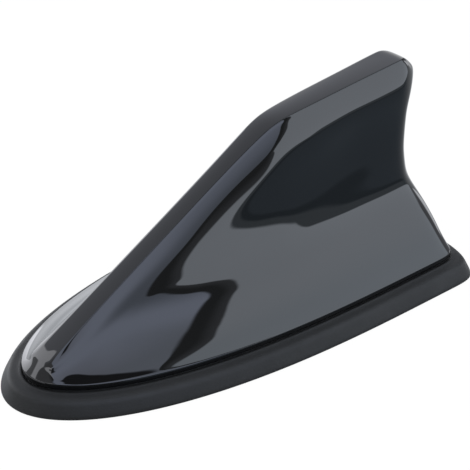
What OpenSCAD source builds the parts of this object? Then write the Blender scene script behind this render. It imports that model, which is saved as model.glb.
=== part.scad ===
// Shark fin roof aerial: a lofted gloss fin on a rubber skirt, clamped to the car's roof
// by the hollow threaded stud of its die-cast base plate.
// Millimetres. The origin is on the stud's axis at the roof's face, +X to the tail, +Z up.

/* [Overall] */
// length of the rubber skirt, nose to tail
skirt_l = 165; // [150:1:185]
// width of the rubber skirt
skirt_w = 82.4; // [68:0.2:92]
// distance from the nose to the stud's axis
stud_at = 88; // [70:1:110]

/* [Fin cover] */
// wall thickness of the moulding
wall = 2.4; // [1.8:0.1:3.2]
// height of the cover's lower edge above the roof
edge_z = 6.1; // [5.8:0.1:8]
// height of the upright band around the lower edge
band_h = 2.1; // [0.8:0.1:3]
// distance of the cover's edge inside the skirt's edge
cover_in = 6.87; // [5:0.1:9]
// where the crease starts behind the nose
crest_x0 = 12; // [10:0.5:16]
// height of the crest over its start
crest_z0 = 13.2; // [11:0.2:16]
// rise of the front slope for each millimetre of length
front_rise = 0.545; // [0.4:0.005:0.7]
// where the rear slope starts, behind the nose
bend_x = 120; // [110:0.5:128]
// height of the rear slope where it starts
back_z = 63.7; // [56:0.1:70]
// rise of the rear slope for each millimetre of length
back_rise = 0.074; // [0:0.001:0.12]
// softness of the bend between the two slopes
bend = 1.0; // [0.4:0.1:4]
// where the crease ends at the peak, behind the nose
peak_x = 161.3; // [150:0.1:166]
// how far the rounding of the peak reaches along the crest
peak_run = 5.1; // [4:0.1:14]
// how far the rounding of the peak drops
peak_drop = 7.1; // [4:0.1:10]
// half width of the crest on the front slope
spine_front = 3.4; // [2.6:0.1:5]
// half width of the crest at the peak
spine_back = 5.2; // [3.5:0.1:6]
// columns of the loft along each flank
loft_u = 44; // [20:1:60]
// rows of the loft up each flank
loft_v = 14; // [8:1:20]
// columns across the crest and the rear face
loft_w = 8; // [4:2:12]

/* [Skirt] */
// height of the skirt's shelf at its outer corner
shelf_z = 5.2; // [4:0.1:6]
// how far the skirt's side leans in
skirt_lean = 2.5; // [1.5:0.1:4]
// points around the skirt
skirt_n = 96; // [48:8:128]

/* [Base plate and stud] */
// underside of the plate above the roof
plate_z = 1.6; // [1.2:0.1:3]
// thickness of the plate
plate_t = 3; // [2:0.1:5]
// distance of the plate's edge inside the skirt's edge
plate_in = 9.6; // [9.4:0.1:12]
// radius of the stud
stud_r = 7; // [5:0.5:9]
// length of the stud below the roof's face
stud_l = 14; // [8:0.5:20]
// radius of the cable bore through the stud
bore_r = 4.5; // [3:0.1:5.5]
// depth of the pockets under the plate
pocket_t = 1.4; // [0.8:0.1:1.8]
// width of the ribs between the pockets
rib_w = 3; // [2:0.5:6]
// distance of the turning pegs from the stud's axis
peg_at = 24; // [18:1:30]
// radius of the cover screws' heads
head_r = 2.9; // [2.4:0.1:3.2]
// height of the cover screws' heads
head_h = 1.6; // [1.2:0.1:2]
// distance of the cover screws inside the skirt's inner edge
screw_in = 4.6; // [4:0.1:6]
// distance of the front cover screws behind the nose
front_screw_x = 30.2; // [27:0.2:34]
// distance of the back cover screws in front of the rear corners
back_screw_in = 16.8; // [14:0.2:20]
// clearance of the screws in their holes
clear = 0.3; // [0.2:0.05:0.5]
// height of the cover's screw posts above the plate
post_h = 5.2; // [4:0.1:6]

/* [Electronics] */
// underside of the main board above the roof
board_z = 9; // [7:0.1:12]
// thickness of the boards
board_t = 1.6; // [1:0.1:2]
// side of the satellite patch
patch_s = 20; // [18:0.5:30]
// height of the satellite patch
patch_h = 4; // [2:0.5:6]
// width of the shield can
can_w = 24; // [16:0.5:26]
// thickness of the upright aerial board
fin_board_t = 1.2; // [0.8:0.1:1.6]
// distance of the upright board below the crest
fin_board_in = 9; // [7:0.5:16]
// width of the printed track
track_w = 1.5; // [0.8:0.1:2]
// spacing of the printed track's runs
track_p = 4; // [3:0.2:6]

/* [Hidden] */
$fn = 64;
eps = 0.01;
band_z = edge_z + band_h;
nodes_w = loft_w - 1;
ring_n = 2 * (loft_u + 1) + 2 * nodes_w;
rows = loft_v + 2;
cap_n = (loft_u - 1) * nodes_w;
shell_n = rows * ring_n + cap_n;
side_rate = 0.948;
tail_rate = 0.65;
tail_x = skirt_l - tail_rate * cover_in;
tail_run = 6;
corner_x = tail_x - tail_run;
nose_run = 3.43;
nose_x = cover_in + nose_run;
broad_in = 30.6;
broad_x = skirt_l - broad_in;
plate_top = plate_z + plate_t;
board_top = board_z + board_t;
lip_in = plate_in + 4;
peak_z = crest_z(peak_x);
back_screw_x = corner_x - back_screw_in;
board_x0 = front_screw_x + head_r + 5;
board_x1 = back_screw_x - head_r - 2;
board_in = lip_in + 3.4;
fin_board_x0 = stud_at + stud_r + 5;
board_head_r = 2;
patch_x = board_x0 + patch_s / 2 + 6;
lane_x = patch_x + patch_s / 2 + board_head_r + 1;
can_l = 18;
can_x = lane_x + board_head_r + 1 + can_l / 2;
pocket_x0 = front_screw_x + 13;
pocket_x1 = stud_at - 2 * stud_r;
pocket_x2 = stud_at + 2 * stud_r;
pocket_x3 = back_screw_x - 7;
shank_r = 1.4;
board_post_r = 3.2;
board_shank_r = 1;

// Curves

function mix(a, b, t) = a + (b - a) * t;
function ease(t) = let(c = min(1, max(0, t))) c * c * (3 - 2 * c);

// index of the span of a table that holds x
function span(tab, x, i = 0) =
    i >= len(tab) - 2 || x < tab[i + 1][0] ? i : span(tab, x, i + 1);

// slope of a table at one of its points
function slope(tab, i) =
    let(a = max(0, i - 1), b = min(len(tab) - 1, i + 1))
    (tab[b][1] - tab[a][1]) / (tab[b][0] - tab[a][0]);

// smooth curve through the points of a table
function curve(tab, x) =
    let(i = span(tab, x), w = tab[i + 1][0] - tab[i][0],
        t = min(1, max(0, (x - tab[i][0]) / w)),
        h01 = t * t * (3 - 2 * t), h10 = t * (1 - t) * (1 - t), h11 = t * t * (t - 1))
    mix(tab[i][1], tab[i + 1][1], h01) + w * (h10 * slope(tab, i) + h11 * slope(tab, i + 1));

// Plan outlines

// half width of the footprint, in from the skirt's edge by d, at x behind the nose
function plan_w(d, x) =
    let(w = skirt_w / 2 - side_rate * d, tail = skirt_l - tail_rate * d,
        u = min(1, max(0, (broad_x - x) / (broad_x - d))),
        t = min(1, max(0, (x - broad_x) / (tail - broad_x))))
    x < broad_x ? w * pow(1 - pow(u, 2.6), 1 / (2 - 0.01 * d))
                : w * pow(1 - pow(t, 9.6), 1 / 2.7);

// x of point a of the half outline, 0 at the nose and 1 at the tail
function plan_x(d, a) =
    a < 0.6 ? mix(broad_x, d, cos(150 * a))
            : mix(broad_x, skirt_l - tail_rate * d, sin(225 * (a - 0.6)));

// closed outline, near side first
function plan(d, n = skirt_n) = [
    for (i = [0 : n - 1])
        let(a = i <= n / 2 ? 2 * i / n : 2 - 2 * i / n, x = plan_x(d, a))
        [x, (i <= n / 2 ? -1 : 1) * (a == 0 || a == 1 ? 0 : plan_w(d, x))]
];

// screws of the cover, from below
screw_at = [
    for (x = [front_screw_x, back_screw_x], s = [1, -1])
        [x, s * (plan_w(lip_in, x) - screw_in)]
];

// screws of the main board, from above
board_screw_at = [
    for (x = [lane_x, board_x1 - 7], s = [1, -1])
        [x, s * (plan_w(board_in, x) - board_post_r - 2.3)]
];

// Fin cover

// crest of the fin, two slopes with a soft bend and a rounded peak
function crest_z(x) =
    let(a = crest_z0 + front_rise * (x - crest_x0), b = back_z + back_rise * (x - bend_x),
        h = (a - b) / 2, r = min(1, max(0, (x - peak_x + 0.85 * peak_run) / peak_run)))
    (a + b) / 2 - sqrt(h * h + bend * bend) - peak_drop * (1 - sqrt(1 - r * r));

// half width of the crest between its creases, by fraction of its length
spine = [[0, spine_front + 0.1], [0.2, spine_front], [0.4, spine_front - 0.1],
         [0.52, spine_front + 0.1], [0.62, mix(spine_front, spine_back, 0.45)],
         [0.72, mix(spine_front, spine_back, 0.8)], [0.86, spine_back], [0.96, spine_back],
         [1, spine_back - 0.1]];

// how far the flare has drawn in at a height above the band
flare = [[0, 0], [1.6, 3.9], [3.4, 7.4], [5.8, 11.2], [9, 15.2], [13, 18.8], [18, 21.6],
         [25, 24], [32, 26], [42, 28.6], [56, 31]];

// how far the blade has widened at a depth below the crease, on the front slope
blade = [[0, 0], [2, 1.54], [4, 2.74], [6, 3.59], [8, 4.44], [10, 5.22], [12, 5.78], [14, 6.23], [17, 6.69],
         [21, 7.07], [27, 7.58], [36, 8.77], [58, 10.31]];

// the same below the rear slope
back_blade = [[0, 0], [3.5, 1.9], [7, 3.4], [11, 4.5], [15, 5.1], [20, 5.7], [28, 6.4], [40, 7.6],
              [58, 9]];

// how far the rear edge leaves the straight line from corner to peak, by fraction of its height
rear = [[0, 0], [0.04, 0.6], [0.08, 1.15], [0.124, 1.19], [0.178, 1.03], [0.241, -0.3],
        [0.286, -0.93], [0.332, -3.17], [0.386, -3.71], [0.512, -4.21], [0.674, -3.32],
        [0.764, -2.9], [0.818, -1.94], [0.89, -0.98], [0.953, 1.55], [1, 0]];

// how far the rear face bows out behind the rear edge, by fraction of its height
bow = [[0, tail_run], [0.08, 5.6], [0.17, 4.9], [0.26, 4.2], [0.4, 3.2], [0.67, 2.8], [1, 2.4]];

// relief of the flank: control values in millimetres, one row for each station from nose to
// rear edge, one column for each level from band to crease
relief = [
    [-0.11, -0.35, -0.49, -0.48, -0.36, -0.1, 0.38, 0.92, 1.34, 1.57, 1.66, 1.64],
    [0.15, -0.03, -0.17, -0.11, -0.07, -0.03, 0.22, 0.65, 1.2, 1.55, 1.48, 1.2],
    [0.36, 0.31, 0.2, 0.27, 0.21, 0.08, 0.08, 0.28, 0.99, 1.49, 1.22, 0.75],
    [0.48, 0.63, 0.7, 0.66, 0.48, 0.21, -0.02, -0.14, 0.54, 1.13, 0.73, 0.37],
    [0.49, 0.77, 0.95, 0.92, 0.72, 0.32, -0.17, -0.32, -0.09, -0.03, -0.01, 0.17],
    [0.4, 0.61, 0.76, 0.85, 0.9, 0.59, -0.23, -0.69, -0.8, -1, -0.49, 0.27],
    [0.22, 0.29, 0.3, 0.39, 0.84, 0.51, -0.45, -1.06, -1.25, -1.11, -0.32, 0.68],
    [0.01, -0.02, 0.02, 0.33, 0.68, -0.03, -0.83, -1.33, -1.33, -1.14, 0.13, 1.29],
    [-0.18, -0.24, -0.2, 0.1, 0.37, -0.14, -0.89, -1.51, -1.54, -0.31, 1.05, 1.91],
    [-0.3, -0.39, -0.43, -0.33, 0.2, -0.03, -0.89, -1.68, -1.82, -0.36, 1.22, 2.24],
    [-0.37, -0.47, -0.54, -0.47, -0.05, -0.21, -0.94, -1.67, -1.81, -0.62, 0.92, 2.15],
    [-0.41, -0.48, -0.54, -0.5, -0.34, -0.52, -1.01, -1.49, -1.54, -0.75, 0.48, 1.72],
    [-0.43, -0.47, -0.5, -0.53, -0.64, -0.84, -1.08, -1.26, -1.2, -0.77, 0.06, 1.14]
];
relief_u = len(relief) - 3;
relief_k = len(relief[0]) - 3;

// weights of the four control values around t in its span
function weights(t) = [
    pow(1 - t, 3) / 6, (4 - 6 * t * t + 3 * t * t * t) / 6,
    (1 + 3 * t + 3 * t * t - 3 * t * t * t) / 6, t * t * t / 6
];

// smooth relief at fraction g of the length and k of the height
function swell(g, k) =
    let(i = min(relief_u - 1, floor(g * relief_u)), j = min(relief_k - 1, floor(k * relief_k)),
        a = weights(g * relief_u - i), b = weights(k * relief_k - j))
    4 * k * (1 - k) * (a * [for (m = [0 : 3]) b * [for (n = [0 : 3]) relief[i + m][j + n]]]);

function along(u) = 0.6 * u + 0.2 * (1 - cos(180 * u));

// point of the near flank and its fraction of the height: u from nose to rear edge, v from
// band to crease, t the wall's inset
function flank(u, v, t) =
    let(g = along(u),
        bx = mix(nose_x, corner_x, g), tx = mix(crest_x0, peak_x, g),
        yr = plan_w(cover_in, bx) - t, s = max(1.2, curve(spine, g) - 0.85 * t),
        top = crest_z(tx) - 1.1 * t - band_z, k = 0.6 * v + 0.4 * v * v, h = top * k,
        yf = yr - (yr - s) * curve(flare, h) / curve(flare, top),
        lean = mix(sqrt(1 + front_rise * front_rise), 1, ease((g - 0.6) / 0.3)),
        d = (top - h) / lean,
        widened = mix(curve(blade, d), curve(back_blade, d), ease((g - 0.6) / 0.25)),
        yb = s + widened * ease((g + 0.145) / 0.473),
        soft = 1.2 * min(1, (top - h) / 8) * min(1, h / 6),
        y = (yf + yb) / 2 + sqrt(pow((yf - yb) / 2, 2) + soft * soft) + swell(g, k),
        ends = t * ((1 - u) * (1 - u) * 0.9 - pow(u, 6)))
    [mix(bx, tx, k) + curve(rear, k) * pow(u, 4) + ends, -y, band_z + h, k];

// columns across the crest and the rear face, 1 at the near crease and -1 at the far one
function across(q) = cos(180 * q / loft_w);

// how far the rear face stands behind the rear edge at a place w across it, following the
// footprint at its foot, where it is half as wide as given
function tail_bow(k, w, half) =
    let(body = curve(bow, k) * pow(1 - pow(abs(w), 3), 1 / 3),
        share = min(1, abs(w) * half / (skirt_w / 2 - side_rate * cover_in)),
        t = pow(1 - pow(share, 2.7), 1 / 9.6),
        foot = mix(broad_x, tail_x, t) - corner_x)
    mix(foot, body, ease(k / 0.14));

// one row around the shell: near flank, rear face, far flank, nose
function ring(v, z, t) =
    let(e = flank(1, v, t), n = flank(0, v, t), half = -flank(1, 0, t)[1],
        side = [for (i = [0 : loft_u]) flank(i / loft_u, v, t)])
    concat(
        [for (p = side) [p[0], p[1], is_undef(z) ? p[2] : z]],
        [for (q = [1 : nodes_w])
            let(w = across(q))
            [e[0] + tail_bow(e[3], w, half), w * e[1],
             is_undef(z) ? e[2] : z]],
        [for (i = [loft_u : -1 : 0])
            let(p = side[i])
            [p[0], -p[1], is_undef(z) ? p[2] : z]],
        [for (q = [nodes_w : -1 : 1])
            let(w = across(q))
            [n[0] - mix(3.4, 0.5, v) * (1 - w * w), w * n[1], is_undef(z) ? n[2] : z]]
    );

// inner points of the crest between the creases
function cap(t) = [
    for (i = [1 : loft_u - 1], q = [1 : nodes_w])
        let(u = i / loft_u, p = flank(u, 1, t), w = across(q))
        [p[0] - 0.5 * (1 - w * w) * pow(1 - u, 8)
             + curve(bow, 1) * pow(1 - pow(abs(w), 3), 1 / 3) * pow(u, 14),
         w * p[1], p[2] + 0.45 * (1 - w * w) * sin(180 * u)]
];

function skin(t) = concat(
    ring(0, edge_z, t),
    [for (j = [0 : loft_v]) each ring(j / loft_v, undef, t)],
    cap(t)
);

// index of a point of the crest in its skin
function cap_at(i, q) =
    let(last = (rows - 1) * ring_n)
    q == 0 ? last + i :
    q == loft_w ? last + 2 * loft_u + 1 + nodes_w - i :
    i == 0 ? last + ring_n - q :
    i == loft_u ? last + loft_u + q :
    rows * ring_n + (i - 1) * nodes_w + q - 1;

function skin_faces() = concat(
    [for (j = [0 : rows - 2], i = [0 : ring_n - 1])
        let(a = j * ring_n + i, b = j * ring_n + (i + 1) % ring_n, c = b + ring_n, d = a + ring_n)
        each [[a, d, c], [a, c, b]]],
    [for (i = [0 : loft_u - 1], q = [0 : loft_w - 1])
        let(a = cap_at(i, q), b = cap_at(i + 1, q), c = cap_at(i + 1, q + 1), d = cap_at(i, q + 1))
        each [[a, d, c], [a, c, b]]]
);

module fin_cover() {
    faces = skin_faces();
    color("#26282b")
        polyhedron(
            points = concat(skin(0), skin(wall)),
            faces = concat(
                faces,
                [for (f = faces) [f[2] + shell_n, f[1] + shell_n, f[0] + shell_n]],
                [for (i = [0 : ring_n - 1])
                    let(b = (i + 1) % ring_n)
                    each [[i, b, b + shell_n], [i, b + shell_n, i + shell_n]]]
            ),
            convexity = 8
        );
}

// Rubber skirt

// section of the skirt: distance in from its edge and height, outer foot first
skirt_section = [
    [0, 0], [0.1, 0.9], [0.5, 1.6], [skirt_lean - 0.5, shelf_z - 0.5], [skirt_lean, shelf_z - 0.1],
    [skirt_lean + 0.7, shelf_z + 0.1], [cover_in - 0.5, shelf_z + 0.4], [cover_in + 1.1, shelf_z + 0.4],
    [cover_in + 1.2, edge_z], [cover_in + 2.2, edge_z], [cover_in + 2.4, edge_z - 0.3],
    [plate_in - 0.1, plate_z], [plate_in + 4, plate_z], [plate_in + 4, 0.6], [plate_in + 3, 0],
    [plate_in + 1.6, 0], [plate_in + 1, 0.8], [3.4, 0.8], [2.6, 0]
];

module base_gasket() {
    m = len(skirt_section);
    pts = [for (s = skirt_section) each [for (p = plan(s[0])) [p[0], p[1], s[1]]]];
    color("#3a3b3c")
        polyhedron(
            points = pts,
            faces = [for (j = [0 : m - 1], i = [0 : skirt_n - 1])
                let(a = j * skirt_n + i, b = j * skirt_n + (i + 1) % skirt_n,
                    k = (j + 1) % m, d = k * skirt_n + i, c = k * skirt_n + (i + 1) % skirt_n)
                each [[a, d, c], [a, c, b]]],
            convexity = 8
        );
}

// Base plate and stud

// pocket under the plate, from x0 to x1, on one side of the middle
module pocket(x0, x1) {
    translate([x0, 5, plate_z - 1])
        cube([x1 - x0, plan_w(lip_in, x0) - 10, pocket_t + 1]);
}

module base_plate() {
    front_l = (pocket_x1 - pocket_x0 - rib_w) / 2;
    back_l = (pocket_x3 - pocket_x2 - rib_w) / 2;
    color("#a9abad")
        difference() {
            union() {
                translate([0, 0, plate_z])
                    linear_extrude(plate_t)
                        polygon(plan(plate_in));
                // boss that the stud stands on
                translate([stud_at, 0, 0])
                    cylinder(h = plate_z + 1, r = stud_r + 4);
                // posts of the main board
                for (p = board_screw_at)
                    translate([p[0], p[1], plate_top - eps])
                        cylinder(h = board_z - plate_top + eps, r = board_post_r);
            }
            translate([stud_at, 0, -1])
                cylinder(h = plate_top + 2, r = bore_r);
            // lightening pockets, with ribs left between them
            for (s = [0, 1])
                mirror([0, s, 0]) {
                    pocket(pocket_x0, pocket_x0 + front_l);
                    pocket(pocket_x1 - front_l, pocket_x1);
                    pocket(pocket_x2, pocket_x2 + back_l);
                    pocket(pocket_x3 - back_l, pocket_x3);
                }
            for (p = screw_at) {
                translate([p[0], p[1], plate_z - 1])
                    cylinder(h = plate_t + 2, r = shank_r + clear);
                translate([p[0], p[1], plate_z - 1])
                    cylinder(h = head_h + 1, r = head_r + clear);
            }
            for (p = board_screw_at)
                translate([p[0], p[1], plate_top - 0.8])
                    cylinder(h = board_z, r = board_shank_r + 0.05);
        }
}

// hollow stud that goes through the roof
module mount_stud() {
    color("#b9babb")
        translate([stud_at, 0, -stud_l])
            difference() {
                union() {
                    cylinder(h = 0.8 + eps, r1 = stud_r - 0.8, r2 = stud_r);
                    translate([0, 0, 0.8])
                        cylinder(h = stud_l - 0.8, r = stud_r);
                }
                translate([0, 0, -1])
                    cylinder(h = stud_l + 2, r = bore_r);
            }
}

// pegs that keep the aerial from turning in the roof
module turn_pegs() {
    color("#a9abad")
        for (x = [stud_at - peg_at, stud_at + peg_at])
            translate([x, 0, -2.2])
                cylinder(h = plate_z + 2.2, r = 2);
}

// rubber ring that seals the hole in the roof
module stud_seal() {
    color("#2c2d2e")
        translate([stud_at, 0, 0])
            rotate_extrude()
                polygon([[stud_r + 4.05, 0.2], [stud_r + 4.6, 0], [stud_r + 5.4, 0], [stud_r + 5.9, 0.7],
                         [stud_r + 6.7, 0.7], [stud_r + 7.2, 0], [stud_r + 8, 0], [stud_r + 8.6, 0.6],
                         [stud_r + 8.6, plate_z], [stud_r + 4.05, plate_z]]);
}

// Fixings

module cover_posts() {
    color("#303236")
        for (p = screw_at)
            translate([p[0], p[1], plate_top])
                difference() {
                    union() {
                        cylinder(h = post_h, r = head_r + 0.1);
                        for (a = [0, 90])
                            rotate([0, 0, a])
                                translate([-head_r - 0.7, -0.6, 0])
                                    cube([2 * head_r + 1.4, 1.2, post_h - 0.8]);
                    }
                    translate([0, 0, -1])
                        cylinder(h = post_h + 0.4, r = shank_r + 0.05);
                }
}

module screw(head_r, head_h, shank_r, shank_l) {
    difference() {
        union() {
            cylinder(h = head_h, r = head_r);
            translate([0, 0, head_h - eps])
                cylinder(h = shank_l + eps, r = shank_r);
        }
        for (a = [0, 90])
            rotate([0, 0, a])
                translate([-head_r * 0.6, -0.35, -1])
                    cube([head_r * 1.2, 0.7, 1 + head_h * 0.55]);
    }
}

module cover_screws() {
    color("#c4c6c8")
        for (p = screw_at)
            translate([p[0], p[1], plate_z])
                screw(head_r, head_h, shank_r, post_h);
}

module board_screws() {
    color("#c4c6c8")
        for (p = board_screw_at)
            translate([p[0], p[1], board_top + 1.2])
                rotate([180, 0, 0])
                    screw(board_head_r, 1.2, board_shank_r, board_t + 4);
}

// Electronics

// block with round corners, standing on its centre
module block(l, w, h, r) {
    linear_extrude(h)
        union() {
            square([l, w - 2 * r], center = true);
            square([l - 2 * r, w], center = true);
            for (i = [-1, 1], j = [-1, 1])
                translate([i * (l / 2 - r), j * (w / 2 - r)])
                    circle(r = r);
        }
}

module main_board() {
    color("#1f5b35")
        translate([0, 0, board_z])
            linear_extrude(board_t)
                difference() {
                    intersection() {
                        polygon(plan(board_in));
                        translate([board_x0, -skirt_w / 2])
                            square([board_x1 - board_x0, skirt_w]);
                    }
                    for (p = board_screw_at)
                        translate([p[0], p[1]])
                            circle(r = board_shank_r + clear);
                }
}

module shield_can() {
    color("#b8babc")
        translate([can_x, 0, board_top])
            block(can_l, can_w, 3.6, 1);
}

module board_chips() {
    color("#232427")
        translate([0, 0, board_top]) {
            translate([can_x + can_l / 2 + 6.5, -7, 0])
                block(6, 7, 1, 0.3);
            translate([can_x + can_l / 2 + 6.5, 6, 0])
                block(6, 8, 1.4, 0.3);
            for (i = [0 : 3])
                translate([can_x - 6 + 5 * i, can_w / 2 + 3, 0])
                    block(2, 1.3, 0.8, 0.2);
            for (i = [0 : 3])
                translate([can_x - 6 + 5 * i, -can_w / 2 - 3, 0])
                    block(1.6, 2.4, 1, 0.2);
        }
}

module gnss_patch() {
    color("#d9d0bd")
        translate([patch_x, 0, board_top])
            block(patch_s, patch_s, patch_h, 0.6);
}

module patch_electrode() {
    color("#cfd2d4")
        translate([patch_x, 0, board_top + patch_h])
            difference() {
                block(patch_s - 4, patch_s - 4, 0.2, 0.3);
                translate([1.8, 0, -1])
                    cylinder(h = 2, r = 0.7);
            }
}

// rear edge of the fin at a height above the roof
function rear_x(z) =
    let(k = (z - band_z) / (peak_z - band_z))
    mix(corner_x, peak_x, k) + curve(rear, k);

// outline of the upright board, seen from the side
fin_top = [for (i = [0 : 8]) mix(fin_board_x0, peak_x - fin_board_in, i / 8)];
fin_outline = concat(
    [[fin_board_x0 + 4, board_top], [fin_board_x0 + 4, board_top + 6], [fin_board_x0, board_top + 8]],
    [for (x = fin_top) [x, crest_z(x) - fin_board_in]],
    [for (i = [1 : 8])
        let(z = mix(crest_z(peak_x - fin_board_in) - fin_board_in, board_top, i / 8))
        [rear_x(z) - wall - 3.6, z]]
);
track_x = fin_board_x0 + 5;
track_z0 = board_top + 10;
track_z1 = crest_z(fin_board_x0) - fin_board_in - 2;
track_n = floor((rear_x((track_z0 + track_z1) / 2) - wall - 6 - track_x) / track_p);

// board that stands up inside the blade
module fin_board() {
    color("#1f5b35")
        translate([0, fin_board_t / 2, 0])
            rotate([90, 0, 0])
                linear_extrude(fin_board_t)
                    polygon(fin_outline);
}

// printed track that folds up and down the upright board
module fin_traces() {
    color("#b87b45")
        translate([0, -fin_board_t / 2, 0])
            rotate([90, 0, 0])
                linear_extrude(0.15)
                    union() {
                        for (i = [0 : track_n - 1])
                            translate([track_x + track_p * i, track_z0])
                                square([track_w, track_z1 - track_z0]);
                        for (i = [0 : track_n - 2])
                            translate([track_x + track_p * i,
                                       i % 2 == 0 ? track_z1 - track_w : track_z0])
                                square([track_p + track_w, track_w]);
                        translate([track_x, board_top + 1])
                            square([track_w, track_z0 - board_top]);
                    }
}

module cable_sockets() {
    color("#c9a44a")
        for (s = [-1, 1])
            translate([stud_at + stud_r + 3, s * 4.2, board_z - 3])
                difference() {
                    union() {
                        cylinder(h = 3, r = 1.9);
                        translate([-2.6, -2.6, 2])
                            cube([5.2, 5.2, 1]);
                    }
                    translate([0, 0, -1])
                        cylinder(h = 3, r = 1.3);
                }
}

module placed() {
    translate([-stud_at, 0, 0])
        children();
}

placed() {
    fin_cover();
    base_gasket();
    base_plate();
    mount_stud();
    turn_pegs();
    stud_seal();
    cover_posts();
    cover_screws();
    main_board();
    board_screws();
    shield_can();
    board_chips();
    gnss_patch();
    patch_electrode();
    fin_board();
    fin_traces();
    cable_sockets();
}
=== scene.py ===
"""Looks of the roof fin aerial: gloss moulded cover, rubber skirt, threaded stud and the parts inside."""
import math

import bpy
import numpy as np
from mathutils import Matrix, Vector


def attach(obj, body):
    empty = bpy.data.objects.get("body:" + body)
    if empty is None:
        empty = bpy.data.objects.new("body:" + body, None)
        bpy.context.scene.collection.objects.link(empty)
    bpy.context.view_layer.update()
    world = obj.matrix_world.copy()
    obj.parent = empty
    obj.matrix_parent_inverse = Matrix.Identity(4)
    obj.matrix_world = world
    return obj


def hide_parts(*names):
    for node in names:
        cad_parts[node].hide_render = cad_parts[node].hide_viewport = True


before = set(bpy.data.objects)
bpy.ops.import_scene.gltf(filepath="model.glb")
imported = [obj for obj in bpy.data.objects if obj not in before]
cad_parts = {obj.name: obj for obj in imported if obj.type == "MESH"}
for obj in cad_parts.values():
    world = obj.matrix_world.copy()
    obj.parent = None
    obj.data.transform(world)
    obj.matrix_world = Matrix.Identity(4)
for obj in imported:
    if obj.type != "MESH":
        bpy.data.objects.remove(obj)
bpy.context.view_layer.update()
scene = bpy.context.scene

# Sizes in millimetres, as in the part's source, with x measured from the nose

SKIRT_L, SKIRT_W, STUD_AT = 165.0, 82.4, 88.0
SIDE_RATE, TAIL_RATE, BROAD_X = 0.948, 0.65, SKIRT_L - 30.6
NOSE_POWER, TAIL_POWER, TAIL_ROOT = 2.6, 9.6, 2.7
WALL, EDGE_Z, BAND_Z, COVER_IN = 2.4, 6.1, 8.2, 6.87
CREST_X0, CREST_Z0, FRONT_RISE = 12.0, 13.2, 0.545
BACK_Z, BACK_RISE, BACK_X, BEND = 63.7, 0.074, 120.0, 1.0
PEAK_X, PEAK_RUN, PEAK_DROP = 161.3, 5.1, 7.1
ROLL_DROP, ROLL_RUN = 0.35, 5.0
NOSE_X, CORNER_X = COVER_IN + 3.43, SKIRT_L - TAIL_RATE * COVER_IN - 6
SHELF_Z, SKIRT_LEAN, PLATE_Z, PLATE_IN = 5.2, 2.5, 1.6, 9.6
STUD_R, STUD_L, BORE_R, PITCH, THREAD = 7.0, 14.0, 4.5, 1.5, 0.85
TOP_WALL = 1.1  # the crest's wall as a share of the flank's

# Half width of the crest by fraction of the length
SPINE = [(0, 3.5), (0.2, 3.4), (0.4, 3.3), (0.52, 3.5), (0.62, 4.1), (0.72, 4.7), (0.86, 5), (0.96, 5.2),
         (1, 5.1)]
# How far the foot and the blade draw in, by height over the band and by depth under the crest
FLARE = [(0, 0), (1.6, 3.9), (3.4, 7.4), (5.8, 11.2), (9, 15.2), (13, 18.8), (18, 21.6), (25, 24), (32, 26),
         (42, 28.6), (56, 31)]
BLADE = [(0, 0), (2, 1.54), (4, 2.74), (6, 3.59), (8, 4.44), (10, 5.22), (12, 5.78), (14, 6.23), (17, 6.69),
         (21, 7.07), (27, 7.58), (36, 8.77), (58, 10.31)]
BACK_BLADE = [(0, 0), (3.5, 1.9), (7, 3.4), (11, 4.5), (15, 5.1), (20, 5.7), (28, 6.4), (40, 7.6), (58, 9)]
# How far the rear edge stands off its chord, and how far the rear face bows, by fraction of the height
REAR = [(0, 0), (0.04, 0.6), (0.08, 1.15), (0.124, 1.19), (0.178, 1.03), (0.241, -0.3), (0.286, -0.93),
        (0.332, -3.17), (0.386, -3.71), (0.512, -4.21), (0.674, -3.32), (0.764, -2.9), (0.818, -1.94),
        (0.89, -0.98), (0.953, 1.55), (1, 0)]
BOW = [(0, 6), (0.08, 5.6), (0.17, 4.9), (0.26, 4.2), (0.4, 3.2), (0.67, 2.8), (1, 2.4)]

# Relief of the flank: control values, a row for each station and a column for each level
RELIEF = np.array([
    [-0.11, -0.35, -0.49, -0.48, -0.36, -0.1, 0.38, 0.92, 1.34, 1.57, 1.66, 1.64],
    [0.15, -0.03, -0.17, -0.11, -0.07, -0.03, 0.22, 0.65, 1.2, 1.55, 1.48, 1.2],
    [0.36, 0.31, 0.2, 0.27, 0.21, 0.08, 0.08, 0.28, 0.99, 1.49, 1.22, 0.75],
    [0.48, 0.63, 0.7, 0.66, 0.48, 0.21, -0.02, -0.14, 0.54, 1.13, 0.73, 0.37],
    [0.49, 0.77, 0.95, 0.92, 0.72, 0.32, -0.17, -0.32, -0.09, -0.03, -0.01, 0.17],
    [0.4, 0.61, 0.76, 0.85, 0.9, 0.59, -0.23, -0.69, -0.8, -1, -0.49, 0.27],
    [0.22, 0.29, 0.3, 0.39, 0.84, 0.51, -0.45, -1.06, -1.25, -1.11, -0.32, 0.68],
    [0.01, -0.02, 0.02, 0.33, 0.68, -0.03, -0.83, -1.33, -1.33, -1.14, 0.13, 1.29],
    [-0.18, -0.24, -0.2, 0.1, 0.37, -0.14, -0.89, -1.51, -1.54, -0.31, 1.05, 1.91],
    [-0.3, -0.39, -0.43, -0.33, 0.2, -0.03, -0.89, -1.68, -1.82, -0.36, 1.22, 2.24],
    [-0.37, -0.47, -0.54, -0.47, -0.05, -0.21, -0.94, -1.67, -1.81, -0.62, 0.92, 2.15],
    [-0.41, -0.48, -0.54, -0.5, -0.34, -0.52, -1.01, -1.49, -1.54, -0.75, 0.48, 1.72],
    [-0.43, -0.47, -0.5, -0.53, -0.64, -0.84, -1.08, -1.26, -1.2, -0.77, 0.06, 1.14]])


# Curves and outlines

def ease(t):
    c = np.clip(t, 0, 1)
    return c * c * (3 - 2 * c)


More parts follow.
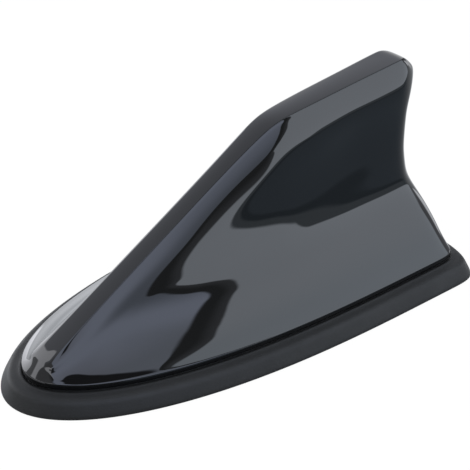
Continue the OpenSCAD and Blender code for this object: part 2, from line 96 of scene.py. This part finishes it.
def curve(table, x):
    """Smooth curve through the points of a table, with no bend at its ends."""
    px, py = np.asarray(table, float).T
    w, n = np.diff(px), len(px)
    rows, rhs = np.eye(n), np.zeros(n)
    for i in range(1, n - 1):
        rows[i, i - 1:i + 2] = w[i - 1], 2 * (w[i - 1] + w[i]), w[i]
        rhs[i] = 6 * ((py[i + 1] - py[i]) / w[i] - (py[i] - py[i - 1]) / w[i - 1])
    curl = np.linalg.solve(rows, rhs)
    x = np.clip(np.asarray(x, float), px[0], px[-1])
    i = np.clip(np.searchsorted(px, x, side="right") - 1, 0, n - 2)
    p, q, w = x - px[i], px[i + 1] - x, w[i]
    return ((curl[i] * q ** 3 + curl[i + 1] * p ** 3) / (6 * w) + (py[i] / w - curl[i] * w / 6) * q
            + (py[i + 1] / w - curl[i + 1] * w / 6) * p)


def plan_w(d, x):
    """Half width of the footprint, in from the skirt's edge by d."""
    w, tail = SKIRT_W / 2 - SIDE_RATE * d, SKIRT_L - TAIL_RATE * d
    u = np.clip((BROAD_X - x) / (BROAD_X - d), 0, 1)
    t = np.clip((x - BROAD_X) / (tail - BROAD_X), 0, 1)
    return np.where(x < BROAD_X, w * (1 - u ** NOSE_POWER) ** (1 / (2 - 0.01 * d)),
                    w * (1 - t ** TAIL_POWER) ** (1 / TAIL_ROOT))


def plan(d, n):
    """Closed outline of the footprint, near side first, n points."""
    a = np.linspace(0, 2, n, endpoint=False)
    side = np.where(a <= 1, -1.0, 1.0)
    a = np.where(a <= 1, a, 2 - a)
    tail = SKIRT_L - TAIL_RATE * d
    x = np.where(a < 0.6, BROAD_X + (d - BROAD_X) * np.cos(np.radians(150 * a)),
                 BROAD_X + (tail - BROAD_X) * np.sin(np.radians(225 * (a - 0.6))))
    y = plan_w(d, x) * np.where((a == 0) | (a == 1), 0, side)
    return x, y


def crest_z(x):
    """Height of the crease, which rolls down a little at the nose."""
    a, b = CREST_Z0 + FRONT_RISE * (x - CREST_X0), BACK_Z + BACK_RISE * (x - BACK_X)
    r = np.clip((x - PEAK_X + 0.85 * PEAK_RUN) / PEAK_RUN, 0, 1)
    roll = ROLL_DROP * np.clip((CREST_X0 + ROLL_RUN - x) / ROLL_RUN, 0, 1) ** 2
    peak = PEAK_DROP * (1 - np.sqrt(1 - r * r))
    return (a + b) / 2 - np.sqrt(((a - b) / 2) ** 2 + BEND ** 2) - peak - roll


def along(u):
    """Fraction of the length at parameter u, which crowds the stations at both ends."""
    return 0.6 * u + 0.2 * (1 - np.cos(np.pi * u))


def top_of(u, t=0.0):
    """Height of the crease over the band."""
    return crest_z(CREST_X0 + (PEAK_X - CREST_X0) * along(u)) - TOP_WALL * t - BAND_Z


def weight(x):
    """Smooth weight of a control value at a distance of x stations."""
    x = np.abs(x)
    return np.where(x < 1, (4 - 6 * x * x + 3 * x ** 3) / 6, np.where(x < 2, (2 - x) ** 3 / 6, 0))


def swell(g, k):
    """Relief of the flank at fraction g of the length and k of the height."""
    g, k = np.broadcast_arrays(g, k)
    n, m = RELIEF.shape
    rows = weight(g[..., None] * (n - 3) + 1 - np.arange(n))
    cols = weight(k[..., None] * (m - 3) + 1 - np.arange(m))
    return 4 * k * (1 - k) * np.einsum("...i,...j,ij->...", rows, cols, RELIEF)


def flank(u, k, t=0.0):
    """Point of the near flank: u from nose to rear edge, k the fraction of the height, t the wall's inset."""
    g = along(u)
    bx, tx = NOSE_X + (CORNER_X - NOSE_X) * g, CREST_X0 + (PEAK_X - CREST_X0) * g
    yr, s = plan_w(COVER_IN, bx) - t, np.maximum(1.2, curve(SPINE, g) - 0.85 * t)
    top = top_of(u, t)
    h = top * k
    yf = yr - (yr - s) * curve(FLARE, h) / curve(FLARE, top)
    lean = math.hypot(1, FRONT_RISE)
    d = (top - h) / (lean + (1 - lean) * ease((g - 0.6) / 0.3))
    back = ease((g - 0.6) / 0.25)
    yb = s + (curve(BLADE, d) * (1 - back) + curve(BACK_BLADE, d) * back) * ease((g + 0.145) / 0.473)
    soft = 1.2 * np.minimum(1, (top - h) / 8) * np.minimum(1, h / 6)
    y = (yf + yb) / 2 + np.sqrt(((yf - yb) / 2) ** 2 + soft ** 2) + swell(g, k)
    ends = t * ((1 - u) ** 2 * 0.9 - u ** 6)
    return np.stack([bx + (tx - bx) * k + curve(REAR, k) * u ** 4 + ends, -y, BAND_Z + h], -1)


# Mesh helpers

def make(name, points, faces, slot, node=None):
    """Object from points in millimetres. It rides on the body and stands for the CAD node, if one is named."""
    p = (np.asarray(points, float).reshape(-1, 3) - (STUD_AT, 0, 0)) / 1000
    mesh = bpy.data.meshes.new(name)
    mesh.from_pydata(p.tolist(), [], [tuple(int(i) for i in f) for f in faces])
    mesh.validate()
    mesh.shade_smooth()
    obj = bpy.data.objects.new(name, mesh)
    scene.collection.objects.link(obj)
    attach(obj, "root")
    if node:
        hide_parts(node)
    return obj


def subdivide(obj, levels):
    mod = obj.modifiers.new("Smooth", "SUBSURF")
    mod.levels = mod.render_levels = levels
    mod.boundary_smooth = "PRESERVE_CORNERS"


def ring_faces(rows, n, flip=False, start=0):
    """Quads between closed rows of n points."""
    j, i = np.meshgrid(np.arange(rows - 1), np.arange(n), indexing="ij")
    a, b = j * n + i, j * n + (i + 1) % n
    quad = np.stack([a, b, b + n, a + n], -1).reshape(-1, 4) + start
    return quad[:, ::-1] if flip else quad


# Fin cover

CREASE, RIM = 0.75, 0.3
COLS, ACROSS = 56, 12
CAP_W = np.array([1, 0.8, 0.61, 0.43, 0.27, 0.13, 0])
CAP_W = np.concatenate([CAP_W, -CAP_W[-2::-1]])
ROUND_W = np.cos(np.pi * np.arange(ACROSS + 1) / ACROSS)
STEPS = np.array([0, 0.04, 0.085, 0.135, 0.19, 0.25, 0.315, 0.385, 0.46, 0.54, 0.62, 0.7, 0.78, 0.86, 0.93, 1])


def heights(u, t, crease):
    """Fractions of the height of the rows: one close above the band and one close below the crease."""
    top = top_of(u, t)
    crease = crease * (1 + ease((along(u) - 0.6) / 0.2))
    inner = RIM + (top - crease - RIM) * STEPS
    return np.concatenate([[0.0], inner, [top]]) / top


def tail_bow(k, w, half):
    """How far the rear face stands behind the rear edge, following the footprint at its foot."""
    body = curve(BOW, k) * (1 - np.abs(w) ** 3) ** (1 / 3)
    full, tail = SKIRT_W / 2 - SIDE_RATE * COVER_IN, SKIRT_L - TAIL_RATE * COVER_IN
    t = (1 - np.minimum(1, np.abs(w) * half / full) ** TAIL_ROOT) ** (1 / TAIL_POWER)
    foot = BROAD_X + (tail - BROAD_X) * t - CORNER_X
    return foot + (body - foot) * ease(k / 0.14)


def skin(t, crease):
    """Rows of the cover's skin from band to crease, and the crest between the creases."""
    us = np.linspace(0, 1, COLS + 1)
    k = np.stack([heights(u, t, crease) for u in us], 1)
    side = flank(us[None, :], k, t)
    rows = len(k)
    foot_half = -side[0, -1, 1]
    ring = []
    for j in range(rows):
        m = ease(j / (rows - 1))
        w = ROUND_W[1:-1] * (1 - m) + CAP_W[1:-1] * m
        e, n = side[j, -1], side[j, 0]
        kj, kn = k[j, -1], k[j, 0]
        rear = np.stack([e[0] + tail_bow(kj, w, foot_half), w * e[1], np.full(len(w), e[2])], -1)
        nose = np.stack([n[0] - (3.4 - 2.9 * kn) * (1 - w * w), w * n[1], np.full(len(w), n[2])], -1)
        far = side[j, ::-1] * (1, -1, 1)
        ring.append(np.concatenate([side[j], rear, far, nose[::-1]]))
    crest = []
    for i in range(1, COLS):
        u, p, w = us[i], side[-1, i], CAP_W[1:-1]
        x = p[0] - 0.5 * (1 - w * w) * (1 - u) ** 8 + BOW[-1][1] * (1 - np.abs(w) ** 3) ** (1 / 3) * u ** 14
        crest.append(np.stack([x, w * p[1], p[2] + 0.45 * (1 - w * w) * math.sin(math.pi * u)], -1))
    return np.array(ring), np.array(crest)


def cap_faces(base, last, n, flip=False):
    """Quads of the crest. last is the index of the top row's first point, base that of the crest's own."""
    def at(i, q):
        """Index of the crest's point at station i, q steps across from the near crease."""
        if q == 0:
            return last + i
        if q == ACROSS:
            return last + 2 * COLS + 1 + (ACROSS - 1) - i
        if i == 0:
            return last + n - q
        if i == COLS:
            return last + COLS + q
        return base + (i - 1) * (ACROSS - 1) + q - 1
    quads = [(at(i, q), at(i + 1, q), at(i + 1, q + 1), at(i, q + 1))
             for i in range(COLS) for q in range(ACROSS)]
    return [f[::-1] for f in quads] if flip else quads


def closed(rows, crest, flip=False):
    """Points and faces of closed rows and the crest that shuts them at the top."""
    count, n = rows.shape[:2]
    faces = list(ring_faces(count, n, flip)) + cap_faces(count * n, (count - 1) * n, n, flip)
    return np.concatenate([rows.reshape(-1, 3), crest.reshape(-1, 3)]), faces


def cover():
    """The shell, with its rim and the band under the flank, and the lining inside it."""
    ring, crest = skin(0.0, CREASE)
    inner, ridge = skin(WALL, CREASE)
    edge, lip = ring[0], inner[0]
    low = []
    for outline, z in ((lip, BAND_Z), (lip, EDGE_Z + 0.25), (edge * 0.15 + lip * 0.85, EDGE_Z),
                       (edge * 0.85 + lip * 0.15, EDGE_Z), (edge, EDGE_Z + RIM), (edge, BAND_Z - RIM)):
        row = outline.copy()
        row[:, 2] = z
        low.append(row)
    shell = make("cover_shell", *closed(np.concatenate([np.array(low), ring]), crest), "cover", "fin_cover")
    subdivide(shell, 2)
    return shell, make("cover_lining", *closed(inner, ridge, True), "cover")


# Rubber skirt

def rounded(corners, steps=5):
    """Closed section with each corner (in, height, radius) rounded."""
    out = []
    n = len(corners)
    for i, (x, z, r) in enumerate(corners):
        p = np.array([x, z])
        if r == 0:
            out.append(p)
            continue
        a, b = np.array(corners[i - 1][:2]) - p, np.array(corners[(i + 1) % n][:2]) - p
        ra, rb = (min(r, 0.49 * np.linalg.norm(v)) / np.linalg.norm(v) for v in (a, b))
        for t in np.linspace(0, 1, steps):
            out.append((1 - t) ** 2 * (p + a * ra) + 2 * t * (1 - t) * p + t * t * (p + b * rb))
    return out


def skirt():
    """The skirt's section, as distance in from its edge and height, swept round the footprint."""
    inner = PLATE_IN + 4
    section = rounded([
        (0, 0, 0.2), (0.15, 0.9, 0.6), (SKIRT_LEAN - 0.1, SHELF_Z, 1.6), (COVER_IN - 1.4, SHELF_Z + 0.35, 1),
        (COVER_IN - 0.35, SHELF_Z + 0.8, 0.5), (COVER_IN + 0.5, SHELF_Z + 0.1, 0.4),
        (COVER_IN + 1.1, SHELF_Z + 0.4, 0.1), (COVER_IN + 1.2, EDGE_Z, 0.1), (COVER_IN + 2.2, EDGE_Z, 0.1),
        (COVER_IN + 2.4, EDGE_Z - 0.3, 0.1), (PLATE_IN - 0.1, PLATE_Z, 0.1), (inner, PLATE_Z, 0.1),
        (inner, 0.6, 0.2), (inner - 1, 0, 0.3), (PLATE_IN + 1.6, 0, 0.3), (PLATE_IN + 1, 0.8, 0.3),
        (3.4, 0.8, 0.3), (2.6, 0, 0.3)])
    n = 320
    rows = []
    for d, z in section:
        x, y = plan(d, n)
        rows.append(np.stack([x, y, np.full(n, z)], -1))
    rows.append(rows[0])
    points = np.concatenate(rows[:-1])
    faces = ring_faces(len(rows), n) % (n * (len(rows) - 1))
    return make("skirt_rubber", points, faces, "skirt", "base_gasket")


# Threaded stud

def stud():
    """Hollow stud with a thread that fades out under the plate, and a chamfer at its end."""
    n, climb, run_out, chamfer = 72, 0.15, 1.2, 1.1
    ang = np.linspace(0, 2 * np.pi, n, endpoint=False)
    profile = []
    for z in np.arange(0, STUD_L + 0.01, climb):
        phase = (z / PITCH - ang / (2 * np.pi)) % 1
        depth = THREAD * np.clip(np.abs(phase * 2 - 1) * 1.25 - 0.12, 0, 1)
        fade = ease((STUD_L - z) / run_out)
        profile.append((STUD_R - np.maximum(depth * fade, max(0.0, chamfer - z)), z - STUD_L))
    profile += [(BORE_R, 0), (BORE_R, -STUD_L + 0.5), (BORE_R + 0.5, -STUD_L)]
    rows = [np.stack([STUD_AT + r * np.cos(ang), r * np.sin(ang), np.full(n, float(z))], -1) for r, z in profile]
    count = len(rows)
    faces = ring_faces(count + 1, n) % (n * count)
    obj = make("stud_thread", np.concatenate(rows), faces, "stud", "mount_stud")
    mod = obj.modifiers.new("Edges", "EDGE_SPLIT")
    mod.split_angle = math.radians(50)
    return obj


# Materials

def shader(name, color, rough, metal=0.0, gleam=0.5, build=None):
    """Material with a plain colour, to which build may add a grain."""
    mat = bpy.data.materials.new(name)
    mat.use_nodes = True
    tree = mat.node_tree
    bsdf = next(n for n in tree.nodes if n.type == "BSDF_PRINCIPLED")
    bsdf.inputs["Base Color"].default_value = (*color, 1)
    bsdf.inputs["Roughness"].default_value = rough
    bsdf.inputs["Metallic"].default_value = metal
    bsdf.inputs["Specular IOR Level"].default_value = gleam
    if build:
        build(tree, bsdf)
    return mat


def link(tree, kind, inputs=None, **attrs):
    """Adds a node, sets its attributes and its inputs, which are numbers or sockets."""
    node = tree.nodes.new(kind)
    for key, value in attrs.items():
        setattr(node, key, value)
    for key, value in (inputs or {}).items():
        if isinstance(value, bpy.types.NodeSocket):
            tree.links.new(value, node.inputs[key])
        else:
            node.inputs[key].default_value = value
    return node


def mixed(tree, fac, a, b):
    """Colour from a to b, which are colours or sockets."""
    node = tree.nodes.new("ShaderNodeMix")
    node.data_type = "RGBA"
    for socket, value in ((node.inputs[0], fac), (node.inputs[6], a), (node.inputs[7], b)):
        if isinstance(value, bpy.types.NodeSocket):
            tree.links.new(value, socket)
        else:
            socket.default_value = (*value, 1)
    return node.outputs[2]


def grain(scale, strength, distance, spread=0.0, detail=3.0, color=None):
    """Fine moulded or cast grain: a bump, and a slight change of roughness and colour."""
    def build(tree, bsdf):
        place = link(tree, "ShaderNodeTexCoord").outputs["Object"]
        noise = link(tree, "ShaderNodeTexNoise", {"Vector": place, "Scale": scale, "Detail": detail})
        bump = link(tree, "ShaderNodeBump", {"Strength": strength, "Distance": distance,
                                            "Height": noise.outputs["Fac"]})
        tree.links.new(bump.outputs["Normal"], bsdf.inputs["Normal"])
        rough = bsdf.inputs["Roughness"].default_value
        if spread:
            coarse = link(tree, "ShaderNodeTexNoise", {"Vector": place, "Scale": scale / 12, "Detail": 2.0})
            ranged = link(tree, "ShaderNodeMapRange", {"Value": coarse.outputs["Fac"], "From Min": 0.3,
                                                      "From Max": 0.7, "To Min": rough - spread,
                                                      "To Max": rough + spread})
            tree.links.new(ranged.outputs["Result"], bsdf.inputs["Roughness"])
            if color:
                base = tuple(bsdf.inputs["Base Color"].default_value)[:3]
                tree.links.new(mixed(tree, coarse.outputs["Fac"], base, color), bsdf.inputs["Base Color"])
    return build


MATERIALS = {
    "cover": shader("gloss_black", (0.0025, 0.0027, 0.003), 0.02, build=grain(25, 0.02, 0.0004, 0.006, 1.0)),
    "lining": shader("cover_inside", (0.012, 0.012, 0.013), 0.4, build=grain(900, 0.1, 0.0002)),
    "skirt": shader("skirt_rubber", (0.016, 0.0168, 0.0175), 0.5, gleam=0.2,
                    build=grain(1400, 0.25, 0.0002, 0.05, color=(0.013, 0.0137, 0.0143))),
    "plate": shader("die_cast", (0.56, 0.57, 0.58), 0.42, 1.0, build=grain(700, 0.35, 0.0003, 0.08,
                                                                         color=(0.48, 0.49, 0.5))),
    "stud": shader("zinc_thread", (0.62, 0.63, 0.62), 0.28, 1.0, build=grain(900, 0.1, 0.0001, 0.05)),
    "seal": shader("seal_rubber", (0.02, 0.02, 0.021), 0.7, build=grain(1200, 0.2, 0.0002)),
    "posts": shader("post_plastic", (0.03, 0.03, 0.033), 0.45, build=grain(900, 0.15, 0.0002)),
    "screws": shader("zinc_screw", (0.66, 0.66, 0.67), 0.3, 1.0, build=grain(1500, 0.1, 0.0001, 0.06)),
    "board": shader("solder_mask", (0.012, 0.11, 0.04), 0.35, build=grain(300, 0.1, 0.0001, 0.05,
                                                                        color=(0.014, 0.14, 0.055))),
    "can": shader("tinned_can", (0.68, 0.68, 0.69), 0.3, 1.0, build=grain(200, 0.12, 0.0002, 0.08)),
    "chips": shader("chip_epoxy", (0.02, 0.02, 0.022), 0.5, build=grain(1500, 0.2, 0.0001)),
    "ceramic": shader("fired_ceramic", (0.68, 0.62, 0.5), 0.55, build=grain(800, 0.15, 0.0002, 0.05,
                                                                          color=(0.62, 0.57, 0.46))),
    "silver": shader("silver_paste", (0.75, 0.75, 0.74), 0.38, 1.0, build=grain(1000, 0.2, 0.0001, 0.08)),
    "copper": shader("bare_track", (0.72, 0.4, 0.2), 0.32, 1.0, build=grain(900, 0.1, 0.0001, 0.06)),
    "socket": shader("plated_socket", (0.75, 0.58, 0.26), 0.28, 1.0, build=grain(900, 0.1, 0.0001, 0.05)),
}


def dress(obj, name):
    obj.data.materials.clear()
    obj.data.materials.append(MATERIALS[name])


shell, lining = cover()
dress(shell, "cover")
dress(lining, "lining")
dress(skirt(), "skirt")
dress(stud(), "stud")
for node, slot in (("base_plate", "plate"), ("turn_pegs", "plate"), ("stud_seal", "seal"),
                   ("cover_posts", "posts"), ("cover_screws", "screws"), ("main_board", "board"),
                   ("board_screws", "screws"), ("shield_can", "can"), ("board_chips", "chips"),
                   ("gnss_patch", "ceramic"), ("patch_electrode", "silver"), ("fin_board", "board"),
                   ("fin_traces", "copper"), ("cable_sockets", "socket")):
    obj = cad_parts[node]
    for holder in obj.material_slots:
        holder.material = MATERIALS[slot]
    if not obj.material_slots:
        obj.data.materials.append(MATERIALS[slot])

# Floor: pale, white to the camera, with a faint shadow of the part. It is clear from below.

FLOOR_Z, FLOOR_HALF = -0.0001, 6.0
corners = [(x * FLOOR_HALF, y * FLOOR_HALF, FLOOR_Z) for x, y in ((-1, -1), (1, -1), (1, 1), (-1, 1))]
floor_mesh = bpy.data.meshes.new("floor")
floor_mesh.from_pydata(corners, [], [(0, 1, 2, 3)])
floor = bpy.data.objects.new("floor", floor_mesh)
scene.collection.objects.link(floor)
floor.visible_glossy = False
mat = bpy.data.materials.new("floor")
mat.use_nodes = True
tree = mat.node_tree
tree.nodes.clear()
path = link(tree, "ShaderNodeLightPath")
matte = link(tree, "ShaderNodeBsdfDiffuse", {"Color": (0.8, 0.8, 0.8, 1)})
part = link(tree, "ShaderNodeBsdfDiffuse", {"Color": (0.12, 0.12, 0.12, 1)})
white = link(tree, "ShaderNodeEmission", {"Color": (1, 1, 1, 1), "Strength": 0.9})
seen = link(tree, "ShaderNodeAddShader", {0: part.outputs[0], 1: white.outputs[0]})
clear = link(tree, "ShaderNodeBsdfTransparent")
back = link(tree, "ShaderNodeNewGeometry").outputs["Backfacing"]
both = link(tree, "ShaderNodeMixShader", {0: path.outputs["Is Camera Ray"], 1: matte.outputs[0],
                                         2: seen.outputs[0]})
side = link(tree, "ShaderNodeMixShader", {0: back, 1: both.outputs[0], 2: clear.outputs[0]})
link(tree, "ShaderNodeOutputMaterial", {"Surface": side.outputs[0]})
floor_mesh.materials.append(mat)

# Studio: white to the camera, an even soft light for matte faces, and for gloss a room. On the near side it has two
# windows with a dark post between them, before the nose and on the far side bright panels, above them a dark
# ceiling, behind it a grey wall, and a floor. Angles are in degrees: azim is 0 towards the tail and -90 towards
# the near side, turn is azim counted from 20 to 380, and elev is 90 straight up.

world = bpy.data.worlds.new("studio")
scene.world = world
world.use_nodes = True
tree = world.node_tree
tree.nodes.clear()


def maths(op, a, b=0.0, c=0.0):
    return link(tree, "ShaderNodeMath", {0: a, 1: b, 2: c}, operation=op).outputs[0]


def dot(v, x, y, z):
    return link(tree, "ShaderNodeVectorMath", {0: v, 1: (x, y, z)}, operation="DOT_PRODUCT").outputs["Value"]


def step(x, a, b):
    """0 below a and 1 above b, smooth between them."""
    return link(tree, "ShaderNodeMapRange", {"Value": x, "From Min": a, "From Max": b},
                interpolation_type="SMOOTHSTEP").outputs["Result"]


def blend(fac, a, b):
    return mixed(tree, fac, a, b)


def plus(a, b):
    return maths("ADD", a, b)


def minus(a, b):
    return maths("SUBTRACT", a, b)


def times(a, b):
    return maths("MULTIPLY", a, b)


def over(a, b):
    return maths("DIVIDE", a, b)


def square(a):
    return maths("POWER", a, 2.0)


def bend(x, table):
    """Curve through the table's points, which run from its first x to its last, for values of +-180."""
    first, last = table[0][0], table[-1][0]
    part = over(minus(x, float(first)), float(last - first))
    node = link(tree, "ShaderNodeFloatCurve", {"Value": part})
    line = node.mapping.curves[0]
    spots = [((x - first) / (last - first), (y + 180) / 360) for x, y in table]
    line.points[0].location, line.points[1].location = spots[0], spots[-1]
    for spot in spots[1:-1]:
        line.points.new(*spot)
    for point in line.points:
        point.handle_type = "AUTO_CLAMPED"
    node.mapping.update()
    return minus(times(node.outputs[0], 360.0), 180.0)


way = link(tree, "ShaderNodeTexCoord").outputs["Generated"]
split = link(tree, "ShaderNodeSeparateXYZ", {"Vector": way})
dx, dy, dz = (split.outputs[i] for i in range(3))
elev = maths("DEGREES", maths("ARCSINE", dz))
azim = maths("DEGREES", maths("ARCTAN2", dy, dx))
turn = maths("WRAP", azim, 380.0, 20.0)

DARK, BLACK = (0.1, 0.11, 0.12), (0.1, 0.1, 0.11)

# Post between the windows, whose sides are at these azimuths for each elevation
post_left = bend(elev, [(0, -79), (10, -79), (13, -77.5), (16, -76), (19, -74.5), (22, -72), (25, -69), (31, -65),
                        (37, -62), (43, -59.7), (49, -56), (52, -53.5), (55, -50.5), (58, -47), (61, -43),
                        (64, -37), (67, -28), (70, -11), (73, 5), (80, 40), (90, 60)])
post_right = bend(elev, [(0, -72.5), (7, -73.3), (10, -74.5), (13, -73), (16, -70), (19, -67), (22, -64.3),
                         (25, -62.7), (31, -60), (37, -57), (43, -54), (49, -49.3), (52, -46), (55, -42),
                         (58, -37), (61, -30), (64, -18), (67, -7), (70, -1), (73, 8), (80, 43), (90, 63)])
across = over(minus(azim, post_left), minus(post_right, post_left))

# Left window: bluish, dimmer at its top and low down, over a sill that climbs towards the nose
left = blend(step(elev, 10.0, 42.0), (1.0, 1.13, 1.4), (2.15, 2.38, 3.02))
left = blend(step(elev, 52.0, 84.0), left, (1.5, 1.6, 1.95))
left = blend(times(step(azim, -88.0, -35.0), step(elev, 46.0, 60.0)), left, (1.5, 1.66, 2.0))
sill = plus(9.0, times(step(azim, -84.0, -108.0), 10.0))
below = blend(step(azim, -104.0, -96.0), DARK, (0.45, 0.48, 0.55))
left = blend(step(minus(elev, sill), -1.5, 1.0), below, left)
left = blend(maths("MAXIMUM", step(azim, -134.0, -126.0), step(elev, 36.0, 44.0)), (0.15, 0.16, 0.18), left)

# Right window, and the post's dark and grey sides
right = blend(step(azim, -48.0, 2.0), (2.5, 2.7, 3.0), (2.1, 2.33, 2.62))
near = blend(step(across, -0.16, 0.06), left, (0.18, 0.19, 0.2))
near = blend(step(across, 0.4, 0.95), near, (0.4, 0.42, 0.46))
near = blend(step(across, 0.97, 1.12), near, right)

# Right window's end: a dark frame, and a bright strip beyond it
slant = minus(elev, times(azim, 0.45))
near = blend(times(step(slant, 36.5, 31.5), step(azim, -30.0, -20.0)), near, (0.62, 0.64, 0.7))
spot = maths("SQRT", plus(square(over(plus(azim, 1.5), 9.0)), square(over(minus(elev, 4.0), 13.0))))
near = blend(step(spot, 1.15, 0.75), near, (3.4, 3.5, 3.7))

# Far panel, with a paler foot, and the top of all the bright panels: the far one, then the near windows
top = bend(turn, [(20, -20), (50, -20), (60, -8), (68, 0), (74, 10), (79, 23), (85, 28), (95, 31), (101, 34),
                  (105, 38), (111, 44), (117, 52), (125, 55), (134, 52), (143, 38), (152, 33.5), (165, 33),
                  (180, 34), (190, 50), (200, 68), (210, 70), (217, 70), (226, 70.5), (240, 73), (260, 77.5),
                  (280, 79.4), (300, 79.7), (320, 78.3), (340, 75.3), (352, 72), (362, 70), (369, 62), (373, 30),
                  (380, -20)])
foot = bend(turn, [(20, -30), (106, -30), (109, -10), (112, 18), (121, 25), (131, 28), (145, 29), (160, 27),
                   (190, 25), (380, -30)])
far = blend(step(minus(elev, foot), -1.0, 1.0), (0.8, 0.82, 0.87), (3.2, 3.25, 3.45))
panels = blend(step(turn, 188.0, 200.0), far, near)

# Over the panels: the wall behind, the ceiling, a slot before the nose and the left window's high end
wall = blend(step(elev, 30.0, 12.0), (0.98, 1.02, 1.14), (1.32, 1.34, 1.38))
deep = times(times(step(turn, 185.0, 205.0), step(turn, 275.0, 235.0)), 0.12)
ceiling = step(plus(dot(way, 0.467, -1.0, -0.2), deep), -0.17, -0.12)
slot = times(step(turn, 140.0, 152.0), step(elev, 68.0, 60.0))
upper = blend(slot, blend(ceiling, wall, BLACK), blend(step(turn, 178.0, 192.0), (0.6, 0.61, 0.65), BLACK))
up = blend(step(minus(elev, top), -0.8, 0.8), panels, upper)
high = times(times(step(turn, 163.0, 167.0), step(turn, 202.0, 198.0)),
             times(step(elev, 58.0, 61.0), step(elev, 76.5, 75.0)))
up = blend(high, up, (1.9, 2.1, 2.65))

# Floor, dark before the nose, paler behind and on the far side, with a pale and a dark line under the windows
ground = blend(step(azim, -50.0, -20.0), (0.31, 0.38, 0.46), (0.78, 0.82, 0.87))
ground = blend(step(azim, -104.0, -97.0), DARK, ground)
ground = blend(step(azim, 2.0, 12.0), ground, (1.2, 1.22, 1.27))
beyond = blend(step(elev, -18.0, -3.0), (0.75, 0.78, 0.83), (1.7, 1.75, 1.85))
ground = blend(step(azim, 35.0, 55.0), ground, beyond)
aside = step(azim, -35.0, -45.0)
ground = blend(times(step(elev, -7.2, -6.2), aside), ground, (0.2, 0.25, 0.3))
ground = blend(times(step(elev, -5.6, -4.8), aside), ground, (0.48, 0.55, 0.62))
horizon = plus(-3.5, times(step(azim, -57.5, -55.0), 2.0))
room = blend(step(minus(elev, horizon), -0.4, 0.4), ground, up)

path = link(tree, "ShaderNodeLightPath")
gloss = link(tree, "ShaderNodeBackground", {"Color": room, "Strength": 1.0})
soft = link(tree, "ShaderNodeBackground", {"Color": (1, 1, 1, 1), "Strength": 0.75})
plain = link(tree, "ShaderNodeBackground", {"Color": (1, 1, 1, 1), "Strength": 1.0})
first = link(tree, "ShaderNodeMixShader", {0: path.outputs["Is Glossy Ray"], 1: soft.outputs[0],
                                          2: gloss.outputs[0]})
last = link(tree, "ShaderNodeMixShader", {0: path.outputs["Is Camera Ray"], 1: first.outputs[0],
                                         2: plain.outputs[0]})
link(tree, "ShaderNodeOutputWorld", {"Surface": last.outputs[0]})


key = bpy.data.lights.new("key", "AREA")
key.size, key.energy = 0.9, 9.0
lamp = bpy.data.objects.new("key", key)
lamp.location = (-0.5, -0.9, 1.3)
lamp.rotation_euler = (Vector((0, 0, 0.02)) - lamp.location).to_track_quat("-Z", "Y").to_euler()
lamp.visible_glossy = False
scene.collection.objects.link(lamp)

# Camera at the photograph's angle

TARGET = Vector((-0.004, 0.0, 0.025))
AZ, EL, DISTANCE = math.radians(41.874), math.radians(30.458), 0.705
out = Vector((-math.sin(AZ) * math.cos(EL), -math.cos(AZ) * math.cos(EL), math.sin(EL)))
cam_data = bpy.data.cameras.new("camera")
cam_data.sensor_width = 36
cam_data.lens = 171.1
cam_data.shift_x, cam_data.shift_y = 0.02874, 0.01399
cam_data.clip_start, cam_data.clip_end = 0.01, 50
camera = bpy.data.objects.new("camera", cam_data)
camera.location = TARGET + DISTANCE * out
camera.rotation_euler = (-out).to_track_quat("-Z", "Y").to_euler()
scene.collection.objects.link(camera)
scene.camera = camera

scene.view_settings.view_transform = "Standard"
